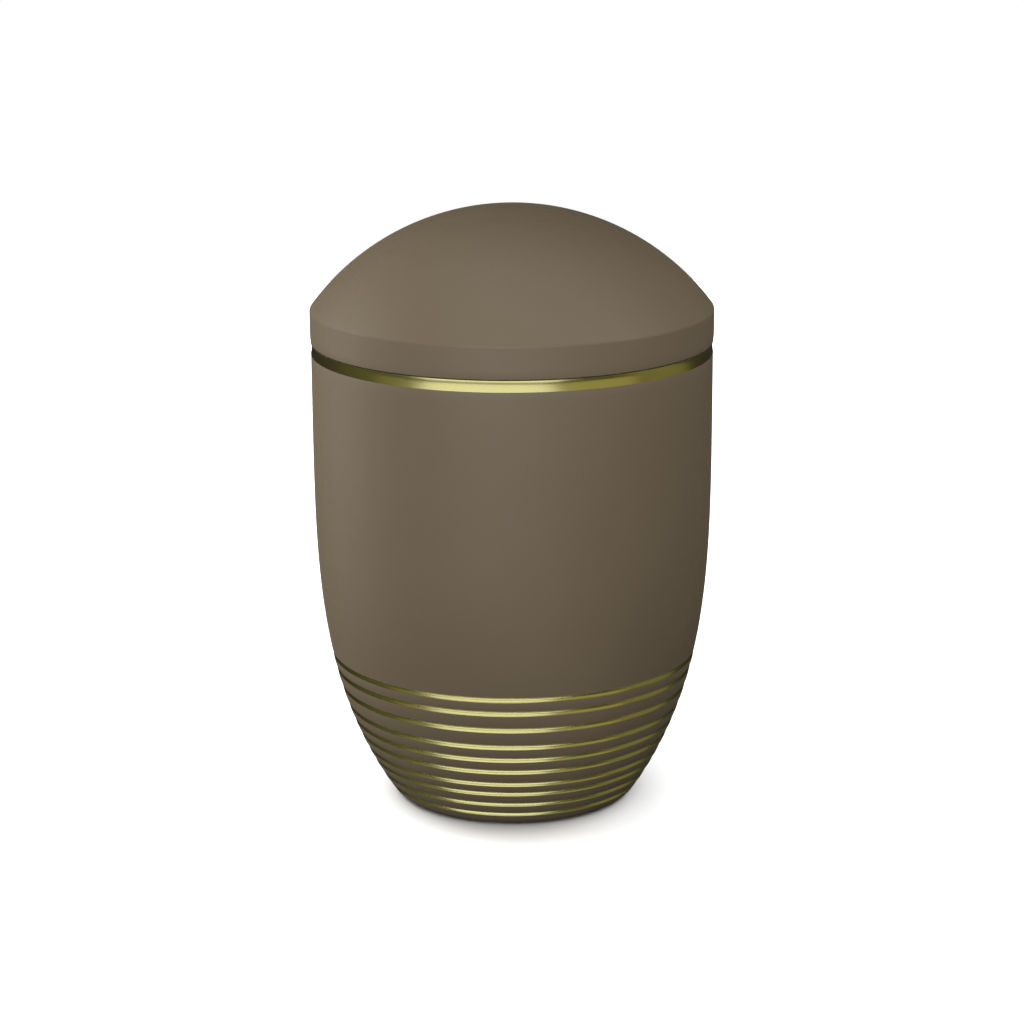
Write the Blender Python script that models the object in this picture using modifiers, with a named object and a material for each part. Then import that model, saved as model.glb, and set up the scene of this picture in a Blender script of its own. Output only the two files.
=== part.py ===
"""Cremation urn: a round metal vessel with turned grooves round its lower part and a domed lid that lifts off.

Metres, +Z up. The urn stands on z = 0 with its axis on Z, and each piece is a turned solid at its real place.
"""

import math

import bpy

# Vessel
BODY_RADIUS = 0.1030  # outside of the straight part of the wall
BODY_WALL = 0.0020
SEAT_HEIGHT = 0.2420  # the ledge that carries the lid
STRAIGHT_WALL = 0.0225  # height of the straight part, below the seat
TAPER_DEPTH = 0.0413  # how far the wall would have drawn in at the floor
TAPER_POWER = 3.74  # a higher power keeps the wall upright for longer

# Foot
FOOT_CORNER = 0.011  # radius of the turn from the wall into the underside
RECESS_RADIUS = 0.046
RECESS_DEPTH = 0.0015
RECESS_SLOPE = math.radians(45)  # of its rim

# Neck, which stands inside the lid
NECK_HEIGHT = 0.009
NECK_CLEARANCE = 0.0004  # between the neck and the inside of the lid
NECK_CHAMFER = 0.0005

# Gilded band under the seat, a shallow cove
BAND_HEIGHT = 0.0057
BAND_DEPTH = 0.0004
BAND_DEEPEST = 0.35  # share of its height at which it is deepest, from the seat down

# Gilded grooves, from the highest down, with slightly rounded ribs between them
GROOVE_HEIGHTS = (0.0781, 0.0704, 0.0609, 0.0509, 0.0432, 0.0358, 0.0279, 0.0216, 0.0145, 0.0078)
GROOVE_WIDTH = 0.0030
GROOVE_DEPTH = 0.0008
GROOVE_DEEPEST = 0.4  # share of its width at which it is deepest, from its upper edge down
RIB_CROWN = 0.00015

# Lid
LID_WALL = 0.0020
LID_OVERHANG = 0.0004  # beyond the outside of the vessel
LID_RIM_HEIGHT = 0.0165  # upright part, from the lower edge to the shoulder
LID_RISE = 0.0520  # from the shoulder to the top of the dome
SHOULDER_ROUND = 0.0030
LIP_HEIGHT = 0.0050  # the foot of the rim leans in a little over this height
LIP_DEPTH = 0.0003
LIP_CHAMFER = 0.0006
SEAT_GAP = 0.0003  # between the lid and the seat that it rests on

# Fineness of the turned surfaces
TURN_STEPS = 44
PLAIN_WALL_SEGMENTS = 7
INNER_WALL_SEGMENTS = 9
BAND_SEGMENTS = 2  # above its deepest line, and as many below it
DOME_SEGMENTS = 12
INNER_DOME_SEGMENTS = 9
CORNER_SEGMENTS = 3

SMOOTH_ANGLE = math.radians(30)
MERGE_DISTANCE = 0.00001

TAUPE = (0.168, 0.137, 0.094, 1.0)
LACQUER_ROUGHNESS = 0.5

# Sizes that follow from the ones above
TAPER_START = SEAT_HEIGHT - STRAIGHT_WALL
RECESS_RIM_RADIUS = RECESS_RADIUS + RECESS_DEPTH / math.tan(RECESS_SLOPE)
LID_RADIUS = BODY_RADIUS + LID_OVERHANG
LID_INNER_RADIUS = LID_RADIUS - LID_WALL
NECK_RADIUS = LID_INNER_RADIUS - NECK_CLEARANCE
NECK_INNER_RADIUS = NECK_RADIUS - BODY_WALL
BODY_INNER_RADIUS = BODY_RADIUS - BODY_WALL
LID_EDGE_HEIGHT = SEAT_HEIGHT + SEAT_GAP


def arc(centre, radius, start, end, segments):
    """Points of a circular arc in the profile plane, its angles in radians from +X towards +Z."""
    points = []
    for step in range(segments + 1):
        angle = start + (end - start) * step / segments
        points.append((centre[0] + radius * math.cos(angle), centre[1] + radius * math.sin(angle)))
    return points


def even_values(start, end, segments):
    """Even values from start to end, both included."""
    return [start + (end - start) * step / segments for step in range(segments + 1)]


def wall_slope(height):
    """How fast the plain wall's outer radius grows with height."""
    fall = max(0.0, TAPER_START - height) / TAPER_START
    return TAPER_DEPTH * TAPER_POWER / TAPER_START * fall ** (TAPER_POWER - 1.0)


def wall_point(height, outwards=0.0):
    """A point of the plain outer wall, moved square to the wall by a distance, inwards if it is negative."""
    fall = max(0.0, TAPER_START - height) / TAPER_START
    radius = BODY_RADIUS - TAPER_DEPTH * fall**TAPER_POWER
    lean = math.atan(wall_slope(height))
    return (radius + outwards * math.cos(lean), height - outwards * math.sin(lean))


def foot_corner():
    """Centre of the foot's rounded corner, and the wall's lean and height where the corner meets it."""
    height = 0.0
    for _ in range(30):
        lean = math.atan(wall_slope(height))
        height = FOOT_CORNER * (1.0 - math.sin(lean))
    radius, _ = wall_point(height)
    return (radius - FOOT_CORNER * math.cos(lean), FOOT_CORNER), lean, height


def neck_profile():
    """The neck from its inner foot, up and over, down to the seat."""
    joggle = BODY_INNER_RADIUS - NECK_INNER_RADIUS
    joggle_top = SEAT_HEIGHT - math.sqrt(2.0) * BODY_WALL + NECK_RADIUS - BODY_INNER_RADIUS + joggle
    top = SEAT_HEIGHT + NECK_HEIGHT
    return [
        (BODY_INNER_RADIUS, joggle_top - joggle),
        (NECK_INNER_RADIUS, joggle_top),
        (NECK_INNER_RADIUS, top),
        (NECK_RADIUS - NECK_CHAMFER, top),
        (NECK_RADIUS, top - NECK_CHAMFER),
        (NECK_RADIUS, SEAT_HEIGHT),
    ]


def band_profile():
    """The cove of the band, from the seat's edge down, round above and below its deepest line."""
    shares = even_values(0.0, BAND_DEEPEST, BAND_SEGMENTS) + even_values(BAND_DEEPEST, 1.0, BAND_SEGMENTS)[1:]
    points = []
    for share in shares:
        reach = BAND_DEEPEST if share < BAND_DEEPEST else 1.0 - BAND_DEEPEST
        depth = BAND_DEPTH * (1.0 - ((share - BAND_DEEPEST) / reach) ** 2)
        points.append((BODY_RADIUS - depth, SEAT_HEIGHT - BAND_HEIGHT * share))
    return points


def groove_profile(height):
    """One groove across the wall, from its upper edge down."""
    half_rise = 0.5 * GROOVE_WIDTH * math.cos(math.atan(wall_slope(height)))
    return [
        wall_point(height + half_rise),
        wall_point(height + half_rise * (1.0 - 2.0 * GROOVE_DEEPEST), -GROOVE_DEPTH),
        wall_point(height - half_rise),
    ]


def outer_profile():
    """The outside of the vessel from the band's foot to the flat of the underside."""
    grooves = [groove_profile(height) for height in GROOVE_HEIGHTS]
    band_foot = SEAT_HEIGHT - BAND_HEIGHT
    highest_edge = grooves[0][0][1]
    points = [wall_point(height) for height in even_values(band_foot, highest_edge, PLAIN_WALL_SEGMENTS)[1:-1]]
    for upper, lower in zip(GROOVE_HEIGHTS, GROOVE_HEIGHTS[1:]):
        points += groove_profile(upper)
        points.append(wall_point(0.5 * (upper + lower), RIB_CROWN))
    points += grooves[-1]
    centre, lean, _ = foot_corner()
    points += arc(centre, FOOT_CORNER, -lean, -0.5 * math.pi, CORNER_SEGMENTS)
    return points


def underside_profile():
    """The shallow recess under the foot, from its rim to the axis."""
    return [(RECESS_RIM_RADIUS, 0.0), (RECESS_RADIUS, RECESS_DEPTH), (0.0, RECESS_DEPTH)]


def inner_profile():
    """The inside of the vessel from the axis, across the floor and up the wall."""
    shift = BODY_WALL * math.tan(0.5 * RECESS_SLOPE)
    centre, lean, height = foot_corner()
    points = [
        (0.0, RECESS_DEPTH + BODY_WALL),
        (RECESS_RADIUS + shift, RECESS_DEPTH + BODY_WALL),
        (RECESS_RIM_RADIUS + shift, BODY_WALL),
    ]
    points += arc(centre, FOOT_CORNER - BODY_WALL, -0.5 * math.pi, -lean, CORNER_SEGMENTS)
    for step in even_values(height, TAPER_START, INNER_WALL_SEGMENTS)[1:]:
        points.append(wall_point(step, -BODY_WALL))
    return points


def lid_profile():
    """The lid from the axis under the dome, down its inside, round the lower edge and up to the top."""
    shoulder = LID_EDGE_HEIGHT + LID_RIM_HEIGHT
    dome_radius = (LID_RADIUS**2 + LID_RISE**2) / (2.0 * LID_RISE)
    dome_centre = (0.0, shoulder + LID_RISE - dome_radius)

    inner_radius = dome_radius - LID_WALL
    inner_start = math.acos(LID_INNER_RADIUS / inner_radius)
    inside = arc(dome_centre, inner_radius, 0.5 * math.pi, inner_start, INNER_DOME_SEGMENTS)

    edge = [
        (LID_INNER_RADIUS, LID_EDGE_HEIGHT),
        (LID_RADIUS - LIP_DEPTH - LIP_CHAMFER, LID_EDGE_HEIGHT),
        (LID_RADIUS - LIP_DEPTH, LID_EDGE_HEIGHT + LIP_CHAMFER),
        (LID_RADIUS, LID_EDGE_HEIGHT + LIP_HEIGHT),
    ]

    round_radius = LID_RADIUS - SHOULDER_ROUND
    round_rise = math.sqrt((dome_radius - SHOULDER_ROUND) ** 2 - round_radius**2)
    round_centre = (round_radius, dome_centre[1] + round_rise)
    dome_start = math.atan2(round_rise, round_radius)
    outside = arc(round_centre, SHOULDER_ROUND, 0.0, dome_start, CORNER_SEGMENTS)
    outside += arc(dome_centre, dome_radius, dome_start, 0.5 * math.pi, DOME_SEGMENTS)[1:]

    return list(reversed(inside + edge + outside))


def body_profile():
    """The vessel from the axis over the floor, up the inside and down the outside to the axis again."""
    return inner_profile() + neck_profile() + band_profile() + outer_profile() + underside_profile()


def make_material(name, colour, roughness, metallic):
    """A Principled material with even values."""
    material = bpy.data.materials.new(name)
    material.use_nodes = True
    shader = material.node_tree.nodes["Principled BSDF"]
    shader.inputs["Base Color"].default_value = colour
    shader.inputs["Roughness"].default_value = roughness
    shader.inputs["Metallic"].default_value = metallic
    return material


def turn(name, profile, material, collection):
    """One turned solid from a profile that runs down its outer side."""
    mesh = bpy.data.meshes.new(name)
    edges = [(index, index + 1) for index in range(len(profile) - 1)]
    mesh.from_pydata([(radius, 0.0, height) for radius, height in profile], edges, [])
    solid = bpy.data.objects.new(name, mesh)
    collection.objects.link(solid)

    screw = solid.modifiers.new("Turn", "SCREW")
    screw.axis = "Z"
    screw.angle = 2.0 * math.pi
    screw.steps = TURN_STEPS
    screw.render_steps = TURN_STEPS
    screw.use_merge_vertices = True
    screw.merge_threshold = MERGE_DISTANCE

    depsgraph = bpy.context.evaluated_depsgraph_get()
    turned = bpy.data.meshes.new_from_object(solid.evaluated_get(depsgraph))
    solid.modifiers.clear()
    solid.data = turned
    bpy.data.meshes.remove(mesh)
    turned.name = name
    turned.shade_smooth()
    turned.set_sharp_from_angle(angle=SMOOTH_ANGLE)
    turned.materials.append(material)
    return solid


def main():
    for old in list(bpy.data.objects):
        bpy.data.objects.remove(old, do_unlink=True)

    collection = bpy.data.collections.new("cremation_urn")
    bpy.context.scene.collection.children.link(collection)

    lacquer = make_material("taupe_lacquer", TAUPE, LACQUER_ROUGHNESS, 0.0)
    turn("urn_body", body_profile(), lacquer, collection)
    turn("urn_lid", lid_profile(), lacquer, collection)


main()
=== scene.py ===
"""Looks of the cremation urn: matt taupe lacquer, gilded band and grooves, soft studio light."""

import math

import bmesh
import bpy
from mathutils import Matrix, Vector


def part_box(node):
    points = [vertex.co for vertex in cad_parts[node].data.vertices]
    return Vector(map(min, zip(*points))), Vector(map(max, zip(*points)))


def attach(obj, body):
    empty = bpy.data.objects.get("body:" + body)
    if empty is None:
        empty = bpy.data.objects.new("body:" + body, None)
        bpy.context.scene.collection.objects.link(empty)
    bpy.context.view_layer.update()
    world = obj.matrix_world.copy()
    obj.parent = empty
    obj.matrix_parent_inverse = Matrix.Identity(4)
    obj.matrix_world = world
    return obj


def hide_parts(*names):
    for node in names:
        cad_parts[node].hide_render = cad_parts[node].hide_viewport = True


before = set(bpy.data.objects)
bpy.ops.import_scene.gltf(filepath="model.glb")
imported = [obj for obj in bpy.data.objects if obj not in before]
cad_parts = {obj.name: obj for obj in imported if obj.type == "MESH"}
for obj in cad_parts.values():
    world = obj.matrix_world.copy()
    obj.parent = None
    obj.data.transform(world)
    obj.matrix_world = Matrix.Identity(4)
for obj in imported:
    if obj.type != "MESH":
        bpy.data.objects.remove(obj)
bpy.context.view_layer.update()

ROOT = "root"
MM = 0.001

# Sizes read from the frame
body_low, body_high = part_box("urn_body")
lid_low, lid_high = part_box("urn_lid")
BODY_RADIUS = body_high.x
NECK_TOP = body_high.z
LID_RADIUS = lid_high.x
LID_EDGE = lid_low.z
LID_TOP = lid_high.z

# Sizes that the frame's boxes don't give, as in the part
WALL = 2.0 * MM
SEAT_HEIGHT = 242.0 * MM
STRAIGHT_WALL = 22.5 * MM
TAPER_START = SEAT_HEIGHT - STRAIGHT_WALL
TAPER_DEPTH = 41.3 * MM
TAPER_POWER = 3.74
FOOT_CORNER = 11.0 * MM
RECESS_RADIUS = 46.0 * MM
RECESS_DEPTH = 1.5 * MM
RECESS_SLOPE = math.radians(45)  # of its rim
NECK_CLEARANCE = 0.4 * MM
BAND_HEIGHT = 5.7 * MM
BAND_DEPTH = 0.4 * MM
BAND_DEEPEST = 0.35  # share of the way down at which the cove is deepest
GROOVE_HEIGHTS = [h * MM for h in (78.1, 70.4, 60.9, 50.9, 43.2, 35.8, 27.9, 21.6, 14.5, 7.8)]
GROOVE_WIDTH = 3.0 * MM
GROOVE_DEPTH = 0.8 * MM
GROOVE_DEEPEST = 0.4
RIB_CROWN = 0.15 * MM
LID_RIM_HEIGHT = 16.5 * MM
SHOULDER_HEIGHT = LID_EDGE + LID_RIM_HEIGHT
SHOULDER_ROUND = 3.0 * MM
LIP_HEIGHT = 5.0 * MM
LIP_DEPTH = 0.3 * MM
LIP_ROUND = 0.6 * MM
EDGE_ROUND = 0.3 * MM

BODY_INNER_RADIUS = BODY_RADIUS - WALL
LID_INNER_RADIUS = LID_RADIUS - WALL
NECK_RADIUS = LID_INNER_RADIUS - NECK_CLEARANCE
NECK_INNER_RADIUS = NECK_RADIUS - WALL
RECESS_RIM_RADIUS = RECESS_RADIUS + RECESS_DEPTH / math.tan(RECESS_SLOPE)

# The gold lies in the metal as a thin film
FILM = 0.08 * MM

# Fineness
TURN_STEPS = 216
WALL_SEGMENTS = 40
CORNER_SEGMENTS = 12
EDGE_SEGMENTS = 4
GROOVE_SEGMENTS = 12
RIB_SEGMENTS = 8
BAND_SEGMENTS = 20
DOME_SEGMENTS = 48
FOOT_ROUNDS = 30  # repeats that find where the foot's corner meets the wall
SHARP_ANGLE = math.radians(28)
MERGE_DISTANCE = 0.001 * MM


def arc(centre, radius, start, end, segments):
    """Points of an arc in the profile plane, its angles in radians from +X towards +Z."""
    points = []
    for step in range(segments + 1):
        angle = start + (end - start) * step / segments
        points.append((centre[0] + radius * math.cos(angle), centre[1] + radius * math.sin(angle)))
    return points


def spread(start, end, segments):
    """Even values from start to end, both included."""
    return [start + (end - start) * step / segments for step in range(segments + 1)]


def wall_slope(height):
    """How fast the plain wall's outer radius grows with height."""
    fall = max(0.0, TAPER_START - height) / TAPER_START
    return TAPER_DEPTH * TAPER_POWER / TAPER_START * fall ** (TAPER_POWER - 1.0)


def wall_point(height, outwards=0.0):
    """A point of the plain outer wall, moved square to it by a distance, inwards if negative."""
    fall = max(0.0, TAPER_START - height) / TAPER_START
    radius = BODY_RADIUS - TAPER_DEPTH * fall**TAPER_POWER
    lean = math.atan(wall_slope(height))
    return (radius + outwards * math.cos(lean), height - outwards * math.sin(lean))


def groove_edges(height):
    """Heights of a groove's upper and lower edge."""
    half_rise = 0.5 * GROOVE_WIDTH * math.cos(math.atan(wall_slope(height)))
    return height + half_rise, height - half_rise


def cove(upper, lower, depth, deepest, segments):
    """A cove in the wall between two heights, from its upper edge down, deepest at a share of the way."""
    points = []
    for share in spread(0.0, 1.0, segments):
        reach = deepest if share < deepest else 1.0 - deepest
        hollow = depth * (1.0 - ((share - deepest) / reach) ** 2)
        points.append(wall_point(upper + (lower - upper) * share, -hollow))
    return points


def groove_cove(height, extra):
    """The round-bottomed groove at a height, deeper by an extra in its middle."""
    upper, lower = groove_edges(height)
    return cove(upper, lower, GROOVE_DEPTH + extra, GROOVE_DEEPEST, GROOVE_SEGMENTS)


def band_cove(extra):
    """The band's shallow cove under the seat, deeper by an extra where it is deepest."""
    return cove(SEAT_HEIGHT, SEAT_HEIGHT - BAND_HEIGHT, BAND_DEPTH + extra, BAND_DEEPEST, BAND_SEGMENTS)


def foot_corner():
    """Centre of the foot's rounded corner, and the wall's lean and height where it starts."""
    height = 0.0
    for _ in range(FOOT_ROUNDS):
        lean = math.atan(wall_slope(height))
        height = FOOT_CORNER * (1.0 - math.sin(lean))
    radius, _ = wall_point(height)
    return (radius - FOOT_CORNER * math.cos(lean), FOOT_CORNER), lean, height


def body_profile():
    """The vessel from the axis over its floor, up the inside, over the neck and down the outside."""
    centre, lean, corner_height = foot_corner()
    shift = WALL * math.tan(0.5 * RECESS_SLOPE)
    points = [
        (0.0, RECESS_DEPTH + WALL),
        (RECESS_RADIUS + shift, RECESS_DEPTH + WALL),
        (RECESS_RIM_RADIUS + shift, WALL),
    ]
    points += arc(centre, FOOT_CORNER - WALL, -0.5 * math.pi, -lean, CORNER_SEGMENTS)
    for height in spread(corner_height, TAPER_START, WALL_SEGMENTS)[1:]:
        points.append(wall_point(height, -WALL))

    joggle = BODY_INNER_RADIUS - NECK_INNER_RADIUS
    joggle_top = SEAT_HEIGHT - math.sqrt(2.0) * WALL + NECK_RADIUS - NECK_INNER_RADIUS
    points += [(BODY_INNER_RADIUS, joggle_top - joggle), (NECK_INNER_RADIUS, joggle_top)]
    points += arc((NECK_INNER_RADIUS + EDGE_ROUND, NECK_TOP - EDGE_ROUND), EDGE_ROUND,
                  math.pi, 0.5 * math.pi, EDGE_SEGMENTS)
    points += arc((NECK_RADIUS - EDGE_ROUND, NECK_TOP - EDGE_ROUND), EDGE_ROUND,
                  0.5 * math.pi, 0.0, EDGE_SEGMENTS)
    points.append((NECK_RADIUS, SEAT_HEIGHT))

    points += band_cove(FILM)
    first_edge, _ = groove_edges(GROOVE_HEIGHTS[0])
    band_foot = SEAT_HEIGHT - BAND_HEIGHT
    for height in spread(band_foot, first_edge, WALL_SEGMENTS)[1:-1]:
        points.append(wall_point(height))
    for index, height in enumerate(GROOVE_HEIGHTS):
        points += groove_cove(height, FILM)
        if index + 1 < len(GROOVE_HEIGHTS):
            _, upper = groove_edges(height)
            lower, _ = groove_edges(GROOVE_HEIGHTS[index + 1])
            points += cove(upper, lower, -RIB_CROWN, 0.5, RIB_SEGMENTS)[1:-1]
    points += arc(centre, FOOT_CORNER, -lean, -0.5 * math.pi, CORNER_SEGMENTS)
    points += [(RECESS_RIM_RADIUS, 0.0), (RECESS_RADIUS, RECESS_DEPTH), (0.0, RECESS_DEPTH)]
    return points


def lid_profile():
    """The lid from the axis under the dome, down its inside, round the lower edge and up to the top."""
    rise = LID_TOP - SHOULDER_HEIGHT
    dome_radius = (LID_RADIUS**2 + rise**2) / (2.0 * rise)
    dome_centre = (0.0, LID_TOP - dome_radius)
    inner_radius = dome_radius - WALL
    inner_start = math.acos(LID_INNER_RADIUS / inner_radius)
    points = arc(dome_centre, inner_radius, 0.5 * math.pi, inner_start, DOME_SEGMENTS // 2)

    lip_radius = LID_RADIUS - LIP_DEPTH
    points += arc((LID_INNER_RADIUS + EDGE_ROUND, LID_EDGE + EDGE_ROUND), EDGE_ROUND,
                  math.pi, 1.5 * math.pi, EDGE_SEGMENTS)
    points += arc((lip_radius - LIP_ROUND, LID_EDGE + LIP_ROUND), LIP_ROUND,
                  1.5 * math.pi, 2.0 * math.pi, EDGE_SEGMENTS * 2)
    for share in spread(0.0, 1.0, EDGE_SEGMENTS * 2)[1:]:
        height = LID_EDGE + LIP_ROUND + (LIP_HEIGHT - LIP_ROUND) * share
        points.append((LID_RADIUS - LIP_DEPTH * (1.0 - share) ** 2, height))

    round_radius = LID_RADIUS - SHOULDER_ROUND
    round_rise = math.sqrt((dome_radius - SHOULDER_ROUND) ** 2 - round_radius**2)
    round_centre = (round_radius, dome_centre[1] + round_rise)
    dome_start = math.atan2(round_rise, round_radius)
    points += arc(round_centre, SHOULDER_ROUND, 0.0, dome_start, CORNER_SEGMENTS)
    points += arc(dome_centre, dome_radius, dome_start, 0.5 * math.pi, DOME_SEGMENTS)[1:]
    return points


def film_profile(surface, bed):
    """The closed section of a gold film, between its surface and the metal under it."""
    return surface + list(reversed(bed))[1:-1]


def turn(name, profile, closed):
    """A turned piece from a profile in the XZ plane, a loop if closed, and else from axis to axis."""
    mesh = bpy.data.meshes.new(name)
    bm = bmesh.new()
    corners = [bm.verts.new((radius, 0.0, height)) for radius, height in profile]
    pairs = list(zip(corners, corners[1:]))
    if closed:
        pairs.append((corners[-1], corners[0]))
    edges = [bm.edges.new(pair) for pair in pairs]
    bmesh.ops.spin(bm, geom=corners + edges, cent=(0, 0, 0), axis=(0, 0, 1),
                   angle=2.0 * math.pi, steps=TURN_STEPS, use_merge=True)
    bmesh.ops.remove_doubles(bm, verts=bm.verts, dist=MERGE_DISTANCE)
    bmesh.ops.recalc_face_normals(bm, faces=bm.faces)
    bm.to_mesh(mesh)
    bm.free()
    mesh.shade_smooth()
    mesh.set_sharp_from_angle(angle=SHARP_ANGLE)
    piece = bpy.data.objects.new(name, mesh)
    bpy.context.scene.collection.objects.link(piece)
    return piece


# Where a noise's values are taken to start and end
NOISE_LOW = 0.3
NOISE_HIGH = 0.7
COARSE = 2.0  # detail of a noise
FINE = 3.0


class Nodes:
    """Short calls that add and link nodes of one material."""

    def __init__(self, name):
        self.material = bpy.data.materials.new(name)
        self.material.use_nodes = True
        self.tree = self.material.node_tree
        self.shader = self.tree.nodes["Principled BSDF"]

    def add(self, kind, inputs=None, **settings):
        node = self.tree.nodes.new(kind)
        for key, value in settings.items():
            setattr(node, key, value)
        for key, value in (inputs or {}).items():
            if isinstance(value, bpy.types.NodeSocket):
                self.tree.links.new(value, node.inputs[key])
            else:
                node.inputs[key].default_value = value
        return node

    def noise(self, scale, detail, stretch=(1.0, 1.0, 1.0)):
        place = self.add("ShaderNodeTexCoord").outputs["Object"]
        mapping = self.add("ShaderNodeMapping", {"Vector": place, "Scale": stretch})
        inputs = {"Vector": mapping.outputs["Vector"], "Scale": scale, "Detail": detail}
        return self.add("ShaderNodeTexNoise", inputs).outputs["Fac"]

    def ranged(self, value, low, high):
        inputs = {"Value": value, "From Min": NOISE_LOW, "From Max": NOISE_HIGH,
                  "To Min": low, "To Max": high}
        return self.add("ShaderNodeMapRange", inputs).outputs["Result"]

    def blend(self, factor, first, second):
        node = self.add("ShaderNodeMix", {"Factor": factor}, data_type="RGBA")
        for socket, value in zip([s for s in node.inputs if s.type == "RGBA"], (first, second)):
            if isinstance(value, bpy.types.NodeSocket):
                self.tree.links.new(value, socket)
            else:
                socket.default_value = value
        return [s for s in node.outputs if s.type == "RGBA"][0]

    def bump(self, height, strength, distance):
        inputs = {"Height": height, "Strength": strength, "Distance": distance}
        return self.add("ShaderNodeBump", inputs).outputs["Normal"]

    def feed(self, socket, value):
        if isinstance(value, bpy.types.NodeSocket):
            self.tree.links.new(value, self.shader.inputs[socket])
        else:
            self.shader.inputs[socket].default_value = value


# Lacquer: two tones in clouds, a fine grain, a sheen and a spray texture. Scales are per metre
TAUPE_DARK = (0.177, 0.1365, 0.086, 1.0)
TAUPE_LIGHT = (0.187, 0.145, 0.093, 1.0)
TAUPE_GRAIN = (0.152, 0.117, 0.073, 1.0)
CLOUD_SCALE = 14.0
GRAIN_SCALE = 900.0
GRAIN_SHARE = 0.12
SHEEN_SCALE = 240.0
LACQUER_ROUGHNESS = (0.46, 0.54)
LACQUER_SPECULAR = 0.4
SPRAY_SCALE = 650.0
SPRAY_STRENGTH = 0.12
SPRAY_DEPTH = 0.02 * MM

# Gold: two tones in patches, under a clear coat, with fine rings
GOLD_DARK = (0.56, 0.51, 0.085, 1.0)
GOLD_LIGHT = (0.6, 0.545, 0.105, 1.0)
GOLD_METALLIC = 0.85
GOLD_ROUGHNESS = (0.24, 0.29)
COAT_WEIGHT = 1.0
COAT_IOR = 2.5
COAT_ROUGHNESS = 0.25
PATCH_SCALE = 60.0
RING_SCALE = 1.0
RING_STRETCH = (40.0, 40.0, 5000.0)
RING_STRENGTH = 0.06
RING_DEPTH = 0.01 * MM


def lacquer_material():
    """Matt taupe lacquer: faint clouds in the colour, a fine spray texture, a low sheen."""
    nodes = Nodes("taupe_lacquer")
    clouds = nodes.noise(CLOUD_SCALE, FINE)
    grain = nodes.noise(GRAIN_SCALE, COARSE)
    tone = nodes.blend(nodes.ranged(clouds, 0.0, 1.0), TAUPE_DARK, TAUPE_LIGHT)
    colour = nodes.blend(nodes.ranged(grain, 0.0, GRAIN_SHARE), tone, TAUPE_GRAIN)
    nodes.feed("Base Color", colour)
    nodes.feed("Roughness", nodes.ranged(nodes.noise(SHEEN_SCALE, COARSE), *LACQUER_ROUGHNESS))
    nodes.feed("Specular IOR Level", LACQUER_SPECULAR)
    nodes.feed("Normal", nodes.bump(nodes.noise(SPRAY_SCALE, FINE), SPRAY_STRENGTH, SPRAY_DEPTH))
    return nodes.material


def gold_material():
    """Greenish gold lacquer, with the fine rings that the turning tool and the brush leave."""
    nodes = Nodes("gold_lacquer")
    rings = nodes.noise(RING_SCALE, FINE, RING_STRETCH)
    patches = nodes.noise(PATCH_SCALE, COARSE)
    tone = nodes.blend(nodes.ranged(patches, 0.0, 1.0), GOLD_DARK, GOLD_LIGHT)
    nodes.feed("Base Color", tone)
    nodes.feed("Metallic", GOLD_METALLIC)
    nodes.feed("Roughness", nodes.ranged(patches, *GOLD_ROUGHNESS))
    nodes.feed("Coat Weight", COAT_WEIGHT)
    nodes.feed("Coat IOR", COAT_IOR)
    nodes.feed("Coat Roughness", COAT_ROUGHNESS)
    nodes.feed("Normal", nodes.bump(rings, RING_STRENGTH, RING_DEPTH))
    return nodes.material


def add_piece(piece, material, node=None):
    """Gives a piece its material and its body, and hides the frame's solid that it replaces."""
    piece.data.materials.append(material)
    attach(piece, ROOT)
    if node:
        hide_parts(node)
    return piece


lacquer = lacquer_material()
gold = gold_material()

lacquered = [
    add_piece(turn("vessel", body_profile(), closed=False), lacquer, "urn_body"),
    add_piece(turn("domed_lid", lid_profile(), closed=False), lacquer, "urn_lid"),
]
section = film_profile(band_cove(0.0), band_cove(FILM))
gilded = [add_piece(turn("gilded_band", section, closed=True), gold)]
for number, height in enumerate(GROOVE_HEIGHTS, start=1):
    section = film_profile(groove_cove(height, 0.0), groove_cove(height, FILM))
    gilded.append(add_piece(turn(f"gilded_groove_{number:02d}", section, closed=True), gold))

# Camera
IMAGE_WIDTH = 1024
SENSOR = 36.0 * MM
CAMERA_DISTANCE = 1.545
CAMERA_ELEVATION = math.radians(14.765)
CAMERA_FOCUS = 2966.6  # focal length in pixels of the photograph's frame
CAMERA_ROLL = math.radians(-0.29)  # the urn leans a little in the photograph's frame
CLIP_START = 0.05
AIM = Vector((-0.00045, 0.0, 0.150))


def direction(azimuth, elevation):
    """The direction at an azimuth, from the camera's side towards +X, and an elevation, in radians."""
    level = math.cos(elevation)
    return Vector((math.sin(azimuth) * level, -math.cos(azimuth) * level, math.sin(elevation)))


camera_data = bpy.data.cameras.new("camera")
camera_data.sensor_width = SENSOR / MM
camera_data.lens = CAMERA_FOCUS / IMAGE_WIDTH * SENSOR / MM
camera_data.clip_start = CLIP_START
camera = bpy.data.objects.new("camera", camera_data)
camera.location = AIM + CAMERA_DISTANCE * direction(0.0, CAMERA_ELEVATION)
tilt = Matrix.Rotation(0.5 * math.pi - CAMERA_ELEVATION, 3, "X")
camera.rotation_euler = (tilt @ Matrix.Rotation(CAMERA_ROLL, 3, "Z")).to_euler()
bpy.context.scene.collection.objects.link(camera)
bpy.context.scene.camera = camera

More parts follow.
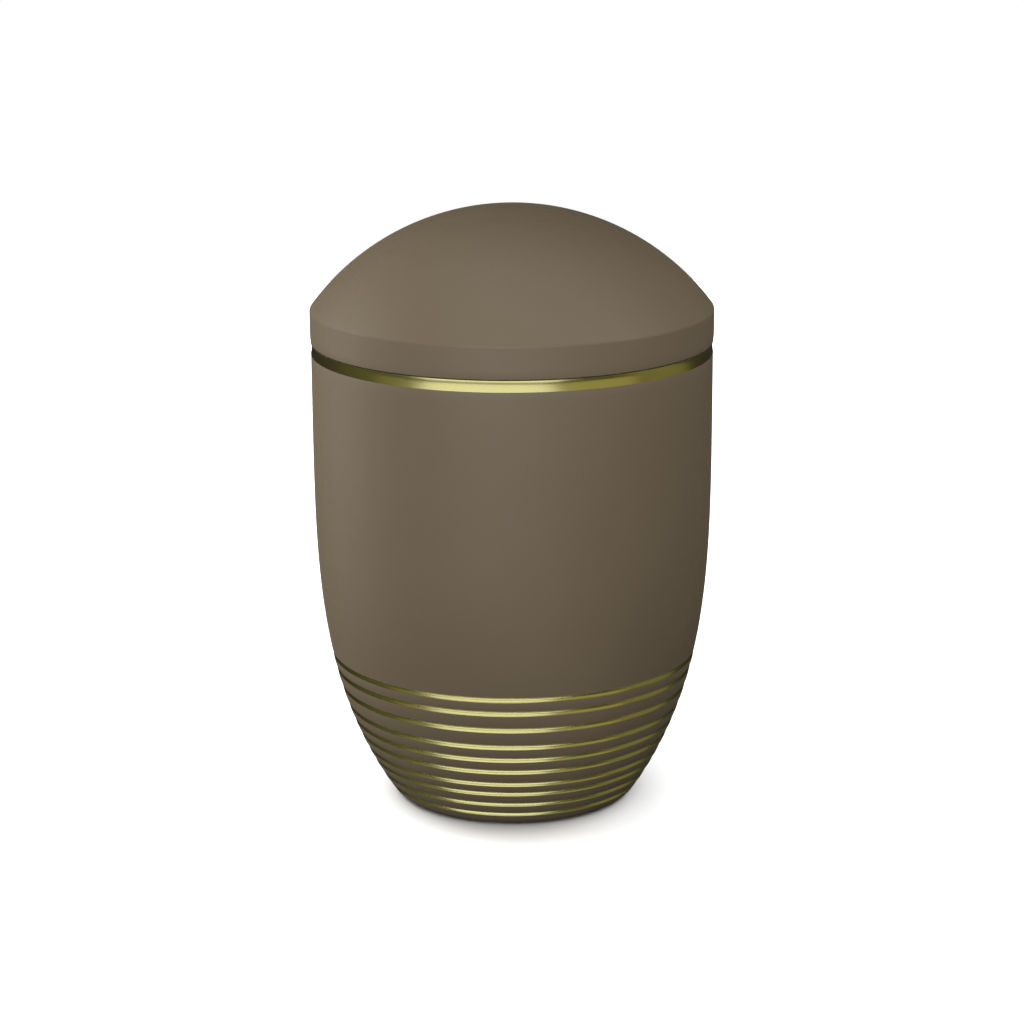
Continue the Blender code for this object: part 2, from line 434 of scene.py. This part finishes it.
# Floor
FLOOR_HALF_SIZE = 1.5
PAPER_COLOUR = (0.8, 0.8, 0.8, 1.0)
PAPER_ROUGHNESS = 0.9
floor_mesh = bpy.data.meshes.new("floor")
bm = bmesh.new()
bmesh.ops.create_grid(bm, x_segments=1, y_segments=1, size=FLOOR_HALF_SIZE)
bm.to_mesh(floor_mesh)
bm.free()
floor = bpy.data.objects.new("floor", floor_mesh)
bpy.context.scene.collection.objects.link(floor)
paper = Nodes("white_paper")
paper.feed("Base Color", PAPER_COLOUR)
paper.feed("Roughness", PAPER_ROUGHNESS)
paper.feed("Specular IOR Level", 0.0)
floor_mesh.materials.append(paper.material)

# The floor stays out of the urn's reflections, and light from the low boxes passes it
floor.visible_diffuse = False
floor.visible_glossy = False
floor.visible_shadow = False

# Soft boxes for the lacquer, the gold and the floor, each lit on its own. Each has its azimuth from the
# camera's side towards +X, its elevation, width, height and brightness, and a distance if it has its own
STRAIGHT_UP = 89.9
BOX_DISTANCE = 1.7
FLOOR_BOX_DISTANCE = 2.0
BOXES = {
    "lacquer": {
        "front": (-10, 8, 2.47, 1.25, 1.82),
        "left": (-95, 25, 0.9, 0.8, 2.56),
        "left_low": (-95, -5, 0.9, 0.8, 1.4),
        "left_back": (-120, 12, 0.9, 1.4, 5.7),
        "right_back": (125, 10, 0.5, 1.2, 4.8),
        "top": (0, STRAIGHT_UP, 1.4, 1.4, 1.05),
        "upper_front": (-10, 50, 1.6, 0.7, 0.28),
        "upper_right": (70, 50, 1.2, 0.8, 1.32),
        "near_right": (65, 27, 0.3, 0.3, 1.64, 0.62),
        "near_front": (-10, 27, 0.3, 0.3, 2.21, 0.65),
        "back": (180, -10, 1.6, 1.4, 1.5),
    },
    "gold": {
        "front": (-14, 8, 2.6, 1.25, 1.25),
        "front_right": (50, 5, 1.4, 1.3, 0.35),
        "front_left": (-66, 5, 0.8, 1.3, 0.16),
        "front_low": (-14, -36, 2.2, 1.5, 0.35),
        "near_low": (-14, -45, 1.0, 0.4, 1.0, 0.70),
        "left": (-95, -15, 1.2, 2.2, 0.03),
        "right": (95, -15, 1.2, 2.2, 0.18),
        "back": (180, -15, 0.7, 2.4, 1.0),
    },
    "floor": {
        "top": (0, STRAIGHT_UP, 5.0, 5.0, 1.7, FLOOR_BOX_DISTANCE),
        "front_low": (0, 15, 1.0, 1.0, 1.8, FLOOR_BOX_DISTANCE),
        "front": (0, 35, 1.0, 1.0, 1.7, FLOOR_BOX_DISTANCE),
        "left_low": (-90, 35, 1.0, 1.0, 1.2, FLOOR_BOX_DISTANCE),
        "left": (-90, 60, 1.2, 1.2, 3.8, FLOOR_BOX_DISTANCE),
        "left_back_low": (-120, 35, 1.0, 1.0, 5.4, FLOOR_BOX_DISTANCE),
        "left_back": (-120, 60, 1.2, 1.2, 4.6, FLOOR_BOX_DISTANCE),
        "right_low": (90, 35, 1.0, 1.0, 2.3, FLOOR_BOX_DISTANCE),
        "right": (90, 60, 1.2, 1.2, 2.6, FLOOR_BOX_DISTANCE),
        "right_back_low": (120, 35, 1.0, 1.0, 3.4, FLOOR_BOX_DISTANCE),
        "right_back": (120, 60, 1.2, 1.2, 1.4, FLOOR_BOX_DISTANCE),
        "back": (180, 35, 1.0, 1.0, 1.0, FLOOR_BOX_DISTANCE),
    },
}
LIT_PIECES = {"lacquer": lacquered, "gold": gilded, "floor": [floor]}
BOX_AIM = Vector((0.0, 0.0, 0.15))
OLIVE_BOXES = ("gold_front_left", "gold_front_right", "gold_left", "gold_right")
OLIVE = (1.0, 0.9, 0.4)
LAST_SHINY_AZIMUTH = 100  # lights further back light the lacquer without a reflection on it


def add_box(name, azimuth, elevation, width, height, brightness, distance=BOX_DISTANCE):
    """A soft rectangular light that faces the urn, with its brightness as radiance."""
    data = bpy.data.lights.new(name, "AREA")
    data.shape = "RECTANGLE"
    data.size = width
    data.size_y = height
    data.energy = math.pi * width * height * brightness
    if name in OLIVE_BOXES:
        data.color = OLIVE
    box = bpy.data.objects.new(name, data)
    towards = direction(math.radians(azimuth), math.radians(elevation))
    box.location = BOX_AIM + distance * towards
    box.rotation_euler = towards.to_track_quat("Z", "Y").to_euler()
    box.visible_camera = False
    box.visible_glossy = not (name.startswith("lacquer") and abs(azimuth) > LAST_SHINY_AZIMUTH)
    bpy.context.scene.collection.objects.link(box)
    return box


for finish, boxes in BOXES.items():
    receivers = bpy.data.collections.new(f"{finish}_receivers")
    for piece in LIT_PIECES[finish]:
        receivers.objects.link(piece)
    for name, values in boxes.items():
        box = add_box(f"{finish}_{name}", *values)
        box.light_linking.receiver_collection = receivers

# The world is white to look at, and only a weak fill for the urn
WORLD_STRENGTHS = {"Is Camera Ray": 1.0, "Is Diffuse Ray": 0.04, "Is Glossy Ray": 0.02}
world = bpy.data.worlds.new("studio")
world.use_nodes = True
world_tree = world.node_tree
background = world_tree.nodes["Background"]
background.inputs["Color"].default_value = (1.0, 1.0, 1.0, 1.0)
path = world_tree.nodes.new("ShaderNodeLightPath")
strength = None
for ray, amount in WORLD_STRENGTHS.items():
    share = world_tree.nodes.new("ShaderNodeMath")
    share.operation = "MULTIPLY_ADD"
    world_tree.links.new(path.outputs[ray], share.inputs[0])
    share.inputs[1].default_value = amount
    if strength:
        world_tree.links.new(strength, share.inputs[2])
    else:
        share.inputs[2].default_value = 0.0
    strength = share.outputs["Value"]
world_tree.links.new(strength, background.inputs["Strength"])
bpy.context.scene.world = world
bpy.context.scene.view_settings.view_transform = "Standard"
